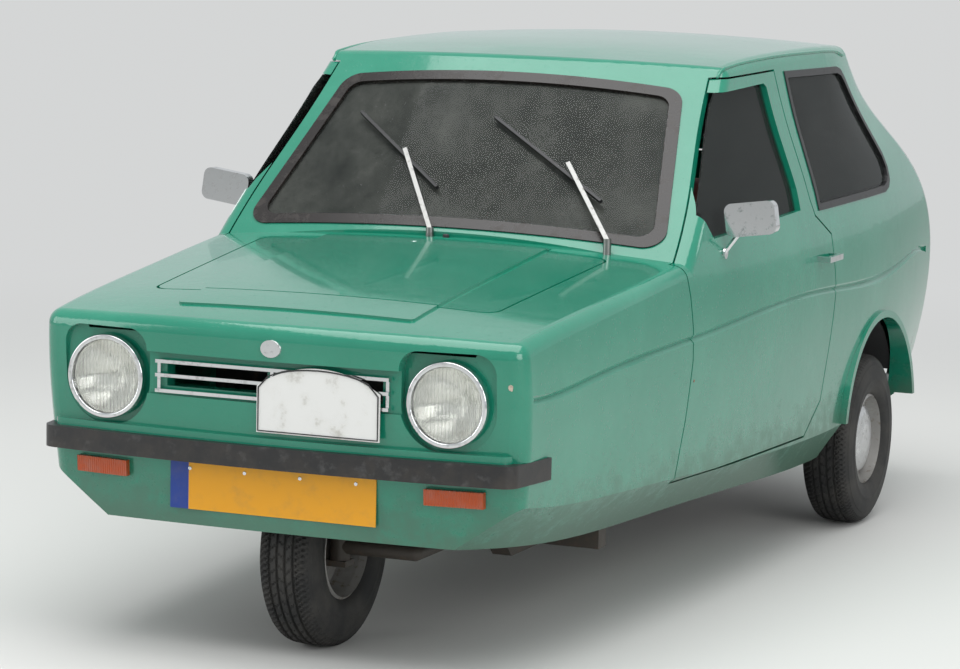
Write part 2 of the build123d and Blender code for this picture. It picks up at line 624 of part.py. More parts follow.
# Front suspension arm, with the spring and damper that stand on it
arm_x, arm_r = -232, 20     # drawn on the right, then turned over: the arm is on the car's left
king_x, king_r, king_half = -40, 12, 34
front_arm = rod_y(arm_x, front_axle_s, pivot_s - seat_clearance, axle_z, arm_r) + \
    rod_x(arm_x, king_x - 4, front_axle_s, axle_z, arm_r) + \
    at(arm_x, front_axle_s, axle_z, Sphere(arm_r)) + rod_z(king_x, front_axle_s, axle_z - king_half, axle_z + king_half, 24)
front_arm = front_arm - rod_z(king_x, front_axle_s, axle_z - 80, axle_z + 80, king_r + 0.05)
write(mirror(front_arm, about=Plane.YZ), "front_arm")
spring_unit = rod_z(arm_x, hoop_s, axle_z + arm_r - 2, hoop_low - seat_clearance, 30) - front_arm
write(mirror(spring_unit, about=Plane.YZ), "spring_and_damper")

# Steered upright: yoke over the arm's boss, kingpin and stub axle
yoke_top = block(king_x - 24, king_x + 24, front_axle_s - 24, front_axle_s + 24, axle_z + king_half + 0.3, axle_z + king_half + 14)
yoke_low = block(king_x - 24, king_x + 24, front_axle_s - 24, front_axle_s + 24, axle_z - king_half - 14, axle_z - king_half - 0.3)
yoke_web = block(king_x + 28, king_x + 38, front_axle_s - 24, front_axle_s + 24, axle_z - king_half - 14, axle_z + king_half + 14)
yoke_arms = block(king_x, king_x + 34, front_axle_s - 24, front_axle_s + 24, axle_z + king_half + 0.3, axle_z + king_half + 14) + \
    block(king_x, king_x + 34, front_axle_s - 24, front_axle_s + 24, axle_z - king_half - 14, axle_z - king_half - 0.3)
kingpin = rod_z(king_x, front_axle_s, axle_z - king_half - 14, axle_z + king_half + 14, king_r)
stub_r = 15
stub = rod_x(king_x + 36, 48, front_axle_s, axle_z, stub_r)
upright = yoke_top + yoke_low + yoke_web + yoke_arms + kingpin + stub
write(mirror(upright, about=Plane.YZ), "front_upright")

# Wheels, each drawn at the origin with its outer face towards +X
tyre_r, tyre_half, bead_r = 240, 72, 127
rim_half = 54
hub_r = 42


def wheel_section(points):
    face = make_face(Polyline(*points, close=True))
    return revolve(Plane.XZ * face, Axis.X)


tyre_points = [
    (-rim_half, bead_r), (-66, 140), (-tyre_half, 172), (-tyre_half + 2, 196), (-60, 226), (-50, 236), (-30, tyre_r),
    (30, tyre_r), (50, 236), (60, 226), (tyre_half - 2, 196), (tyre_half, 172), (66, 140), (rim_half, bead_r),
]
rim_points = [
    (-rim_half, bead_r), (-rim_half - 5, bead_r - 6), (-40, 116), (10, 112), (16, 94), (10, 82),
    (10, stub_r + 0.05), (24, stub_r + 0.05), (24, 82), (30, 96), (24, 114), (40, 118), (rim_half + 5, bead_r - 6),
    (rim_half, bead_r),
]
cap_points = [
    (49, 0), (54, 0), (52, 40), (47, 70), (40, 90), (33, 95), (30.3, 95), (31, 91), (43, 68), (47, 40),
]
tyre_solid = wheel_section(tyre_points)
rim_solid = wheel_section(rim_points)
cap_solid = wheel_section(cap_points)
# place name, x of the wheel's middle, s, facing
wheel_rows = [("front", 0, front_axle_s, -1), ("rear_left", half_track, rear_axle_s, 1),
              ("rear_right", -half_track, rear_axle_s, -1)]
for name, x, s, facing in wheel_rows:
    for piece, node in ((tyre_solid, "tyre"), (rim_solid, "rim"), (cap_solid, "hub_cap")):
        turned = piece if facing > 0 else mirror(piece, about=Plane.YZ)
        write(at(x, s, axle_z, turned), f"{name}_{node}")

# Rear axle with its leaf springs
axle_tube = rod_x(-half_track + 22, half_track - 22, rear_axle_s, axle_z, 30)
drums = both_sides(rod_x(half_track - 44, half_track + 1, rear_axle_s, axle_z, 80))
stubs = both_sides(rod_x(half_track, half_track + 30, rear_axle_s, axle_z, stub_r))
banjo = fillet(rod_x(-62, 62, rear_axle_s, axle_z, 98).edges().filter_by(GeomType.CIRCLE), 30)
axle = axle_tube + banjo
for piece in drums + stubs:
    axle = axle + piece
write(axle, "rear_axle")
spring_x, spring_w, leaf_t = 400, 50, 22
spring_half_s = 360


def leaf_spring():
    ends_z, mid_z = 262, axle_z - 30 - leaf_t
    a, b = y(rear_axle_s - spring_half_s), y(rear_axle_s + spring_half_s)
    low = ThreePointArc((a, ends_z), (y(rear_axle_s), mid_z), (b, ends_z))
    top = ThreePointArc((b, ends_z + leaf_t), (y(rear_axle_s), mid_z + leaf_t), (a, ends_z + leaf_t))
    face = make_face(low + Line(low @ 1, top @ 0) + top + Line(top @ 1, low @ 0))
    plane = Plane(origin=(spring_x - spring_w / 2, 0, 0), x_dir=(0, 1, 0), z_dir=(1, 0, 0))
    return extrude(plane * face, spring_w)


spring = leaf_spring()
hanger_front = block(rail_x + rail_w / 2 + seat_clearance, spring_x + 26, rear_axle_s - spring_half_s - 24,
                     rear_axle_s - spring_half_s, 190, 290)
hanger_rear = block(rail_x + rail_w / 2 + seat_clearance, spring_x + 26, rear_axle_s + spring_half_s,
                    rear_axle_s + spring_half_s + 24, 240, 300)
write(both_sides(spring + hanger_front + hanger_rear), "leaf_springs")

# Exhaust
pipe_x, pipe_r = 180, 19
pipe_z = rail_low + 8 - pipe_r - seat_clearance
silencer = rod_y(pipe_x, 1520, 1920, pipe_z, 44)
write(rod_y(pipe_x, 900, 3180, pipe_z, pipe_r) + silencer, "exhaust")
tank = block(-250, 250, 2690, 3030, 290, rear_floor_z - seat_clearance)
write(fillet(tank.edges(), 20), "fuel_tank")

# Seats: bases, cushions and backs
seat_x, seat_half = 300, 235
seat_base_high = 400


def cushion(x0, x1, s0, s1, z0, z1, tilt):
    shape = Box(x1 - x0, s1 - s0, z1 - z0)
    shape = fillet(shape.edges(), 28)
    return at((x0 + x1) / 2, (s0 + s1) / 2, (z0 + z1) / 2, Rot(tilt, 0, 0) * shape)


bases = both_sides(block(seat_x - 150, seat_x + 180, 1530, 1900, 200, seat_base_high) & inner)
write(bases, "seat_bases")
front_cushions = both_sides(cushion(seat_x - seat_half, seat_x + seat_half, 1480, 1950, 401, 521, 0))
rear_cushion = cushion(-470, 470, 2180, 2560, rear_floor_z + 11, rear_floor_z + 130, 0)
write(front_cushions + [rear_cushion], "seat_cushions")
front_backs = both_sides(cushion(seat_x - seat_half, seat_x + seat_half, 1990, 2090, 500, 1000, -14))
rear_back = cushion(-470, 470, 2600, 2690, 508, 948, -14)
write(front_backs + [rear_back], "seat_backs")

# Steering column and wheel
wheel_x, wheel_s, wheel_z, wheel_lean = 300, 1400, 840, 62
rim_r, rim_tube = 190, 13
steer_plane = Plane(origin=(wheel_x, y(wheel_s), wheel_z), x_dir=(1, 0, 0),
                    z_dir=(0, math.sin(math.radians(wheel_lean)), math.cos(math.radians(wheel_lean))))
steering = steer_plane * (Torus(rim_r, rim_tube) + Pos(0, 0, -20) * Cylinder(34, 30) +
                          Pos(0, 0, -12) * Box(2 * rim_r, 26, 7) + Pos(0, -rim_r / 2, -12) * Box(26, rim_r, 7))
write(steering, "steering_wheel")
column = steer_plane * Pos(0, 0, -36 - seat_clearance - 110) * Cylinder(22, 220)
write(column - dash, "steering_column")
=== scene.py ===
import bpy
import bmesh
import json
import math
import random
from mathutils import Matrix, Vector


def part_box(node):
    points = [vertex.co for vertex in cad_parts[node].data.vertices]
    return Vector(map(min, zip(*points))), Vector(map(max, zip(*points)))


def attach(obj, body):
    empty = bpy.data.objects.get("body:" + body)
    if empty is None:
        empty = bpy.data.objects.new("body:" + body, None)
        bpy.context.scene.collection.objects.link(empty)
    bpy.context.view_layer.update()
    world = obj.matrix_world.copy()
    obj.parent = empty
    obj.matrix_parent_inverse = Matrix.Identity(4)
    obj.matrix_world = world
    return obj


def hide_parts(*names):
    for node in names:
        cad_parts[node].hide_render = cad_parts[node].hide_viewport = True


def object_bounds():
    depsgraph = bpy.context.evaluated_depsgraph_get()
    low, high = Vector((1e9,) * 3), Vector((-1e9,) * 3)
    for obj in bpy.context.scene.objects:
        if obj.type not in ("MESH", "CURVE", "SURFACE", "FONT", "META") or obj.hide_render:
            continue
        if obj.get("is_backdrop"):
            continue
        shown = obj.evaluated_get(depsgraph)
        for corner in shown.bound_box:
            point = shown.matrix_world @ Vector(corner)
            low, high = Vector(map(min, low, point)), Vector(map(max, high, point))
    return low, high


random.seed(7)
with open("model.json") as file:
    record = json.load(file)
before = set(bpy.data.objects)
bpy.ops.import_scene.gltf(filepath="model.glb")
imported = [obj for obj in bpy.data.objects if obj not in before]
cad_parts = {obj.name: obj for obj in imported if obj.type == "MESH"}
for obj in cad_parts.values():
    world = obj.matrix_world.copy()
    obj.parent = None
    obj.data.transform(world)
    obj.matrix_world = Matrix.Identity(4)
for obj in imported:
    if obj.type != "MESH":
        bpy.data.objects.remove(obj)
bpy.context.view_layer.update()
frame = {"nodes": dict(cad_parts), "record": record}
nodes = frame["nodes"]
scene = bpy.context.scene
carLength = 3.327


def yOf(s):
    return s / 1000 - carLength / 2  # s in mm behind the front bumper


# camera of the photograph
view = {"place": (3.5507, -8.8715, 1.8584), "azimuth": 22.78, "pitch": 7.62, "roll": 1.24, "lens": 134.8}
photo = {"wide": 960, "tall": 669, "sensor": 36}  # pixels, and the sensor in mm
azimuth, pitch, roll = (math.radians(view[key]) for key in ("azimuth", "pitch", "roll"))
back = Vector((math.sin(azimuth) * math.cos(pitch), -math.cos(azimuth) * math.cos(pitch), math.sin(pitch)))
levelRight = Vector((math.cos(azimuth), math.sin(azimuth), 0))
levelUp = back.cross(levelRight)
right = levelRight * math.cos(roll) + levelUp * math.sin(roll)
up = levelUp * math.cos(roll) - levelRight * math.sin(roll)
camera = bpy.data.objects.new("camera", bpy.data.cameras.new("camera"))
camera.data.lens = view["lens"]
camera.data.sensor_width = photo["sensor"]
camera.data.clip_end = 100
camera.matrix_world = Matrix((
    (right.x, up.x, back.x, view["place"][0]), (right.y, up.y, back.y, view["place"][1]),
    (right.z, up.z, back.z, view["place"][2]), (0, 0, 0, 1)))
scene.collection.objects.link(camera)
scene.camera = camera
scene.view_settings.view_transform = "Standard"


# node helpers
def addNode(tree, kind, inputs=None, **settings):
    made = tree.nodes.new(kind)
    for key, value in settings.items():
        setattr(made, key, value)
    for key, value in (inputs or {}).items():
        if isinstance(value, bpy.types.NodeSocket):
            tree.links.new(value, made.inputs[key])
        else:
            made.inputs[key].default_value = value
    return made


def maths(tree, operation, first, second=0.0, third=0.0, clamp=False):
    made = tree.nodes.new("ShaderNodeMath")
    made.operation = operation
    made.use_clamp = clamp
    for i, value in enumerate((first, second, third)):
        if isinstance(value, bpy.types.NodeSocket):
            tree.links.new(value, made.inputs[i])
        else:
            made.inputs[i].default_value = value
    return made.outputs[0]


def newGroup(name, entries, results):
    tree = bpy.data.node_groups.new(name, "ShaderNodeTree")
    for title, kind, value in entries:
        tree.interface.new_socket(title, in_out="INPUT", socket_type=kind).default_value = value
    for title, kind in results:
        tree.interface.new_socket(title, in_out="OUTPUT", socket_type=kind)
    return tree, tree.nodes.new("NodeGroupInput"), tree.nodes.new("NodeGroupOutput")


def useGroup(tree, group, **values):
    made = tree.nodes.new("ShaderNodeGroup")
    made.node_tree = group
    for key, value in values.items():
        if isinstance(value, bpy.types.NodeSocket):
            tree.links.new(value, made.inputs[key])
        else:
            made.inputs[key].default_value = value
    return made


number = "NodeSocketFloat"


def softStep(tree, value, low, high):
    made = addNode(tree, "ShaderNodeMapRange", {"Value": value, "From Min": low, "From Max": high},
                   interpolation_type="SMOOTHSTEP")
    return made.outputs["Result"]


def makeLowDirt():
    entries = [("Top", number, 0.5), ("Bottom", number, 0.2), ("Scale", number, 9.0)]
    tree, entry, leave = newGroup("lowDirt", entries, [("Mask", number)])
    coords = addNode(tree, "ShaderNodeTexCoord").outputs["Object"]
    height = addNode(tree, "ShaderNodeSeparateXYZ", {"Vector": coords}).outputs["Z"]
    fade = softStep(tree, height, entry.outputs["Top"], entry.outputs["Bottom"])
    splash = addNode(tree, "ShaderNodeTexNoise", {
        "Vector": coords, "Scale": entry.outputs["Scale"], "Detail": 8.0, "Roughness": 0.7}).outputs["Fac"]
    cut = softStep(tree, maths(tree, "ADD", splash, maths(tree, "MULTIPLY", fade, 0.55)), 0.62, 1.0)
    tree.links.new(maths(tree, "MULTIPLY", cut, fade), leave.inputs["Mask"])
    return tree


def makeRain():
    tree, entry, leave = newGroup("rain", [("Size", number, 0.006), ("Amount", number, 0.5)],
                                  [("Height", number), ("Mask", number)])
    coords = addNode(tree, "ShaderNodeTexCoord").outputs["Object"]
    scale = maths(tree, "DIVIDE", 1.0, entry.outputs["Size"])
    wander = addNode(tree, "ShaderNodeTexNoise", {"Vector": coords, "Scale": 160.0}).outputs["Color"]
    bent = addNode(tree, "ShaderNodeMix", {"Factor": 0.0015, "A": coords, "B": wander}, data_type="VECTOR")
    cells = addNode(tree, "ShaderNodeTexVoronoi", {"Vector": bent.outputs["Result"], "Scale": scale})
    pick = addNode(tree, "ShaderNodeSeparateColor", {"Color": cells.outputs["Color"]})
    kept = maths(tree, "LESS_THAN", pick.outputs["Red"], entry.outputs["Amount"])
    radius = maths(tree, "MULTIPLY_ADD", pick.outputs["Green"], 0.28, 0.08)
    dome = maths(tree, "SUBTRACT", 1.0, maths(tree, "DIVIDE", cells.outputs["Distance"], radius), clamp=True)
    drop = maths(tree, "MULTIPLY", maths(tree, "SQRT", dome), kept)
    tree.links.new(maths(tree, "MULTIPLY", drop, radius), leave.inputs["Height"])
    tree.links.new(softStep(tree, drop, 0.05, 0.3), leave.inputs["Mask"])
    return tree


def makeMottle():
    entries = [("Scale", number, 12.0), ("Low", number, 0.4), ("High", number, 0.7)]
    tree, entry, leave = newGroup("mottle", entries, [("Mask", number)])
    coords = addNode(tree, "ShaderNodeTexCoord").outputs["Object"]
    field = addNode(tree, "ShaderNodeTexNoise", {
        "Vector": coords, "Scale": entry.outputs["Scale"], "Detail": 10.0, "Roughness": 0.65}).outputs["Fac"]
    tree.links.new(softStep(tree, field, entry.outputs["Low"], entry.outputs["High"]), leave.inputs["Mask"])
    return tree


def makeHairlines():
    tree, entry, leave = newGroup("hairlines", [("Scale", number, 30.0), ("Stretch", number, 18.0)],
                                  [("Height", number)])
    coords = addNode(tree, "ShaderNodeTexCoord").outputs["Object"]
    spread = addNode(tree, "ShaderNodeCombineXYZ", {"X": 1.0, "Y": entry.outputs["Stretch"], "Z": 1.0})
    drawn = addNode(tree, "ShaderNodeVectorMath", {0: coords, 1: spread.outputs["Vector"]},
                    operation="MULTIPLY")
    field = addNode(tree, "ShaderNodeTexNoise", {
        "Vector": drawn.outputs["Vector"], "Scale": entry.outputs["Scale"], "Detail": 6.0, "Roughness": 0.8})
    tree.links.new(field.outputs["Fac"], leave.inputs["Height"])
    return tree


def makeRibs():
    entries = [("Pitch", number, 0.008), ("Across", number, 0.0)]
    tree, entry, leave = newGroup("ribs", entries, [("Height", number)])
    coords = addNode(tree, "ShaderNodeTexCoord").outputs["Object"]
    parts = addNode(tree, "ShaderNodeSeparateXYZ", {"Vector": coords})
    along = addNode(tree, "ShaderNodeMix", {"Factor": entry.outputs["Across"], "A": parts.outputs["X"],
                                            "B": parts.outputs["Z"]}).outputs["Result"]
    phase = maths(tree, "DIVIDE", along, entry.outputs["Pitch"])
    wave = maths(tree, "SINE", maths(tree, "MULTIPLY", phase, 2 * math.pi))
    tree.links.new(maths(tree, "MULTIPLY_ADD", wave, 0.5, 0.5), leave.inputs["Height"])
    return tree


def makeWeave():
    tree, entry, leave = newGroup("weave", [("Pitch", number, 0.003)],
                                  [("Height", number), ("Stripe", number)])
    stripeWidth = 0.05
    coords = addNode(tree, "ShaderNodeTexCoord").outputs["Object"]
    parts = addNode(tree, "ShaderNodeSeparateXYZ", {"Vector": coords})
    turns = maths(tree, "DIVIDE", 2 * math.pi, entry.outputs["Pitch"])
    first = maths(tree, "SINE", maths(tree, "MULTIPLY", parts.outputs["X"], turns))
    other = maths(tree, "ADD", parts.outputs["Y"], parts.outputs["Z"])
    second = maths(tree, "SINE", maths(tree, "MULTIPLY", other, turns))
    tree.links.new(maths(tree, "MULTIPLY", first, second), leave.inputs["Height"])
    band = maths(tree, "SINE", maths(tree, "MULTIPLY", parts.outputs["X"], 2 * math.pi / stripeWidth))
    tree.links.new(softStep(tree, band, 0.2, 0.6), leave.inputs["Stripe"])
    return tree


lowDirt, rain, mottle, hairlines, ribs, weave = (
    makeLowDirt(), makeRain(), makeMottle(), makeHairlines(), makeRibs(), makeWeave())
print("groups ready")


def newMaterial(name):
    material = bpy.data.materials.get(name) or bpy.data.materials.new(name)
    material.use_nodes = True
    material.node_tree.nodes.clear()
    tree = material.node_tree
    surface = tree.nodes.new("ShaderNodeBsdfPrincipled")
    out = tree.nodes.new("ShaderNodeOutputMaterial")
    tree.links.new(surface.outputs[0], out.inputs["Surface"])
    return material, tree, surface, out


def mixColours(tree, mask, first, second):
    made = tree.nodes.new("ShaderNodeMix")
    made.data_type = "RGBA"
    for socket, value in ((made.inputs[0], mask), (made.inputs[6], first), (made.inputs[7], second)):
        if isinstance(value, bpy.types.NodeSocket):
            tree.links.new(value, socket)
        else:
            socket.default_value = value if isinstance(value, float) else (*value, 1)
    return made.outputs[2]


def bump(tree, height, depth, before=None):
    made = addNode(tree, "ShaderNodeBump", {"Height": height, "Distance": depth, "Strength": 1.0})
    if before:
        tree.links.new(before, made.inputs["Normal"])
    return made.outputs["Normal"]


# Every plain finish is one row: colours, roughness, how metallic, wear scale and reach, bump
finishes = {
    "blackRubber": {"colour": (0.013, 0.013, 0.014), "worn": (0.05, 0.05, 0.05), "rough": (0.38, 0.6),
                    "metal": 0.0, "scale": 30.0, "bump": 0.0002, "dirt": (0.2, 0.7)},
    "screenRubber": {"colour": (0.012, 0.009, 0.008), "worn": (0.03, 0.024, 0.02), "rough": (0.25, 0.5),
                     "metal": 0.0, "scale": 22.0, "bump": 0.0003, "dirt": (0.1, 0.2)},
    "chrome": {"colour": (0.72, 0.73, 0.74), "worn": (0.42, 0.42, 0.42), "rough": (0.07, 0.28),
               "metal": 1.0, "scale": 60.0, "bump": 0.00002, "dirt": (0.05, 0.4)},
    "reflector": {"colour": (0.9, 0.9, 0.88), "worn": (0.6, 0.58, 0.52), "rough": (0.06, 0.3),
                  "metal": 1.0, "scale": 25.0, "bump": 0.00002, "dirt": (0.0, 0.1)},
    "wiperMetal": {"colour": (0.3, 0.3, 0.29), "worn": (0.14, 0.13, 0.12), "rough": (0.3, 0.5),
                   "metal": 1.0, "scale": 80.0, "bump": 0.00005, "dirt": (0.0, 0.1)},
    "blackMetal": {"colour": (0.016, 0.016, 0.017), "worn": (0.09, 0.05, 0.03), "rough": (0.4, 0.8),
                   "metal": 0.1, "scale": 26.0, "bump": 0.0004, "dirt": (0.15, 0.6)},
    "engineIron": {"colour": (0.09, 0.09, 0.09), "worn": (0.13, 0.08, 0.05), "rough": (0.5, 0.8),
                   "metal": 0.5, "scale": 30.0, "bump": 0.0006, "dirt": (0.2, 0.6)},
    "rustySteel": {"colour": (0.13, 0.075, 0.045), "worn": (0.24, 0.105, 0.045), "rough": (0.6, 0.9),
                   "metal": 0.3, "scale": 40.0, "bump": 0.0006, "dirt": (0.2, 0.6)},
    "wheelPaint": {"colour": (0.42, 0.42, 0.41), "worn": (0.2, 0.14, 0.1), "rough": (0.32, 0.6),
                   "metal": 0.35, "scale": 55.0, "bump": 0.0002, "dirt": (0.1, 0.5)},
    "darkTrim": {"colour": (0.02, 0.02, 0.021), "worn": (0.04, 0.04, 0.04), "rough": (0.5, 0.7),
                 "metal": 0.0, "scale": 90.0, "bump": 0.0003, "dirt": (0.0, 0.05)},
    "headlining": {"colour": (0.5, 0.47, 0.4), "worn": (0.36, 0.33, 0.27), "rough": (0.8, 0.95),
                   "metal": 0.0, "scale": 14.0, "bump": 0.0003, "dirt": (0.0, 0.05)},
    "primerGrey": {"colour": (0.5, 0.42, 0.34), "worn": (0.3, 0.2, 0.13), "rough": (0.6, 0.8),
                   "metal": 0.0, "scale": 160.0, "bump": 0.0002, "dirt": (0.0, 0.1)},
    "primerRed": {"colour": (0.3, 0.06, 0.03), "worn": (0.16, 0.05, 0.03), "rough": (0.6, 0.8),
                  "metal": 0.0, "scale": 160.0, "bump": 0.0002, "dirt": (0.0, 0.1)},
    "whitePlastic": {"colour": (0.72, 0.72, 0.7), "worn": (0.5, 0.49, 0.45), "rough": (0.25, 0.45),
                     "metal": 0.0, "scale": 20.0, "bump": 0.00005, "dirt": (0.1, 0.3)},
}
mud = (0.075, 0.06, 0.045)


def plainFinish(name, spec):
    material, tree, surface, out = newMaterial(name)
    wear = useGroup(tree, mottle, Scale=spec["scale"], Low=0.52, High=0.72).outputs["Mask"]
    fine = useGroup(tree, hairlines, Scale=spec["scale"] * 2, Stretch=3.0).outputs["Height"]
    low, most = spec["dirt"]
    dirt = useGroup(tree, lowDirt, Top=0.75, Bottom=low, Scale=14.0).outputs["Mask"]
    dirt = maths(tree, "MULTIPLY", dirt, most)
    colour = mixColours(tree, wear, spec["colour"], spec["worn"])
    tree.links.new(mixColours(tree, dirt, colour, mud), surface.inputs["Base Color"])
    smoothest, roughest = spec["rough"]
    shine = addNode(tree, "ShaderNodeMapRange", {"Value": wear, "To Min": smoothest, "To Max": roughest})
    tree.links.new(maths(tree, "MAXIMUM", shine.outputs["Result"], dirt), surface.inputs["Roughness"])
    bare = maths(tree, "SUBTRACT", 1.0, dirt)
    tree.links.new(maths(tree, "MULTIPLY", bare, spec["metal"]), surface.inputs["Metallic"])
    tree.links.new(bump(tree, fine, spec["bump"]), surface.inputs["Normal"])
    return material


made = {name: plainFinish(name, spec) for name, spec in finishes.items()}

paint = {"colour": (0.006, 0.2, 0.122), "faded": (0.045, 0.31, 0.205), "rough": 0.15, "drops": 0.009}


def bodyPaint():
    material, tree, surface, out = newMaterial("bodyPaint")
    faded = useGroup(tree, mottle, Scale=3.0, Low=0.4, High=0.8).outputs["Mask"]
    chips = useGroup(tree, mottle, Scale=75.0, Low=0.72, High=0.74).outputs["Mask"]
    dirt = useGroup(tree, lowDirt, Top=0.62, Bottom=0.22, Scale=16.0).outputs["Mask"]
    drops = useGroup(tree, rain, Size=paint["drops"], Amount=0.45)
    colour = mixColours(tree, maths(tree, "MULTIPLY", faded, 0.35), paint["colour"], paint["faded"])
    colour = mixColours(tree, maths(tree, "MULTIPLY", chips, 0.5), colour, (0.25, 0.3, 0.28))
    colour = mixColours(tree, maths(tree, "MULTIPLY", dirt, 0.55), colour, mud)
    tree.links.new(colour, surface.inputs["Base Color"])
    peel = useGroup(tree, mottle, Scale=260.0, Low=0.0, High=1.0).outputs["Mask"]
    wave = useGroup(tree, mottle, Scale=5.0, Low=0.0, High=1.0).outputs["Mask"]
    normal = bump(tree, peel, 0.00004)
    normal = bump(tree, wave, 0.0012, normal)
    rough = maths(tree, "MULTIPLY_ADD", dirt, 0.5, paint["rough"])
    wet = maths(tree, "MULTIPLY", drops.outputs["Mask"], 0.12)
    tree.links.new(maths(tree, "SUBTRACT", rough, wet, clamp=True), surface.inputs["Roughness"])
    tree.links.new(bump(tree, drops.outputs["Height"], 0.0012, normal), surface.inputs["Normal"])
    surface.inputs["Coat Weight"].default_value = 0.6
    surface.inputs["Coat Roughness"].default_value = 0.05
    return material


def clearGlass(name, haze):
    material, tree, surface, out = newMaterial(name)
    film = useGroup(tree, mottle, Scale=5.0, Low=0.3, High=0.85).outputs["Mask"]
    streaks = useGroup(tree, hairlines, Scale=7.0, Stretch=0.25).outputs["Height"]
    drops = useGroup(tree, rain, Size=0.008, Amount=0.4)
    normal = bump(tree, drops.outputs["Height"], 0.001)
    mist = maths(tree, "MULTIPLY", maths(tree, "MULTIPLY_ADD", film, 0.25, streaks), haze)
    colour = mixColours(tree, softStep(tree, mist, 0.0, 0.3), (0.03, 0.035, 0.034), (0.4, 0.4, 0.36))
    tree.links.new(colour, surface.inputs["Base Color"])
    surface.inputs["Roughness"].default_value = 0.04
    surface.inputs["IOR"].default_value = 1.5
    tree.links.new(normal, surface.inputs["Normal"])
    through = addNode(tree, "ShaderNodeBsdfTransparent", {"Color": (0.95, 0.97, 0.96, 1)})
    edge = addNode(tree, "ShaderNodeFresnel", {"IOR": 1.5, "Normal": normal}).outputs[0]
    share = maths(tree, "ADD", maths(tree, "MULTIPLY", edge, 1.4), mist)
    share = maths(tree, "ADD", share, maths(tree, "MULTIPLY", drops.outputs["Mask"], 0.12), clamp=True)
    mixed = addNode(tree, "ShaderNodeMixShader", {0: share, 1: through.outputs[0], 2: surface.outputs[0]})
    tree.links.new(mixed.outputs[0], out.inputs["Surface"])
    return material


def lensGlass(name, colour, pitch, across, seeThrough):
    material, tree, surface, out = newMaterial(name)
    rib = useGroup(tree, ribs, Pitch=pitch, Across=across).outputs["Height"]
    grey = useGroup(tree, mottle, Scale=30.0, Low=0.4, High=0.8).outputs["Mask"]
    tree.links.new(mixColours(tree, maths(tree, "MULTIPLY", grey, 0.25), colour, (0.3, 0.28, 0.25)),
                   surface.inputs["Base Color"])
    surface.inputs["Roughness"].default_value = 0.1
    surface.inputs["Transmission Weight"].default_value = seeThrough
    surface.inputs["IOR"].default_value = 1.45
    tree.links.new(bump(tree, rib, 0.0012), surface.inputs["Normal"])
    if seeThrough > 0.5:
        clear = addNode(tree, "ShaderNodeBsdfTransparent", {"Color": (0.95, 0.95, 0.93, 1)})
        mixed = addNode(tree, "ShaderNodeMixShader", {0: 0.45, 1: surface.outputs[0], 2: clear.outputs[0]})
        tree.links.new(mixed.outputs[0], out.inputs["Surface"])
    return material


plates = {"half": 0.26, "strip": 0.047}


def plateFinish():
    material, tree, surface, out = newMaterial("plateFinish")
    coords = addNode(tree, "ShaderNodeTexCoord").outputs["Object"]
    parts = addNode(tree, "ShaderNodeSeparateXYZ", {"Vector": coords})
    rear = maths(tree, "GREATER_THAN", parts.outputs["Y"], 0.0)
    turn = maths(tree, "MULTIPLY_ADD", rear, -2.0, 1.0)
    across = maths(tree, "MULTIPLY", parts.outputs["X"], turn)
    strip = maths(tree, "LESS_THAN", across, plates["strip"] - plates["half"])
    grime = useGroup(tree, mottle, Scale=18.0, Low=0.45, High=0.8).outputs["Mask"]
    colour = mixColours(tree, strip, (0.72, 0.32, 0.006), (0.008, 0.04, 0.25))
    tree.links.new(mixColours(tree, maths(tree, "MULTIPLY", grime, 0.3), colour, (0.2, 0.16, 0.08)),
                   surface.inputs["Base Color"])
    surface.inputs["Roughness"].default_value = 0.3
    return material


def seatCloth():
    material, tree, surface, out = newMaterial("seatCloth")
    cloth = useGroup(tree, weave, Pitch=0.004)
    worn = useGroup(tree, mottle, Scale=9.0, Low=0.4, High=0.8).outputs["Mask"]
    colour = mixColours(tree, cloth.outputs["Stripe"], (0.16, 0.03, 0.025), (0.3, 0.09, 0.06))
    tree.links.new(mixColours(tree, maths(tree, "MULTIPLY", worn, 0.4), colour, (0.25, 0.16, 0.13)),
                   surface.inputs["Base Color"])
    surface.inputs["Roughness"].default_value = 0.9
    surface.inputs["Sheen Weight"].default_value = 0.3
    tree.links.new(bump(tree, cloth.outputs["Height"], 0.0004), surface.inputs["Normal"])
    return material


def tyreRubber():
    material, tree, surface, out = newMaterial("tyreRubber")
    dust = useGroup(tree, mottle, Scale=12.0, Low=0.35, High=0.75).outputs["Mask"]
    grain = useGroup(tree, hairlines, Scale=90.0, Stretch=1.0).outputs["Height"]
    dust = maths(tree, "MULTIPLY", dust, 0.55)
    colour = mixColours(tree, dust, (0.012, 0.012, 0.012), (0.06, 0.055, 0.048))
    tree.links.new(colour, surface.inputs["Base Color"])
    surface.inputs["Roughness"].default_value = 0.72
    tree.links.new(bump(tree, grain, 0.0004), surface.inputs["Normal"])
    return material


made["bodyPaint"] = bodyPaint()
made["clearGlass"] = clearGlass("clearGlass", 0.05)
made["screenGlass"] = clearGlass("screenGlass", 0.13)
made["lampGlass"] = lensGlass("lampGlass", (0.9, 0.92, 0.9), 0.009, 0.0, 0.9)
made["amberLens"] = lensGlass("amberLens", (0.5, 0.07, 0.006), 0.006, 0.0, 0.15)
made["redLens"] = lensGlass("redLens", (0.5, 0.01, 0.01), 0.006, 1.0, 0.25)
made["plateFinish"] = plateFinish()
made["seatCloth"] = seatCloth()
made["tyreRubber"] = tyreRubber()

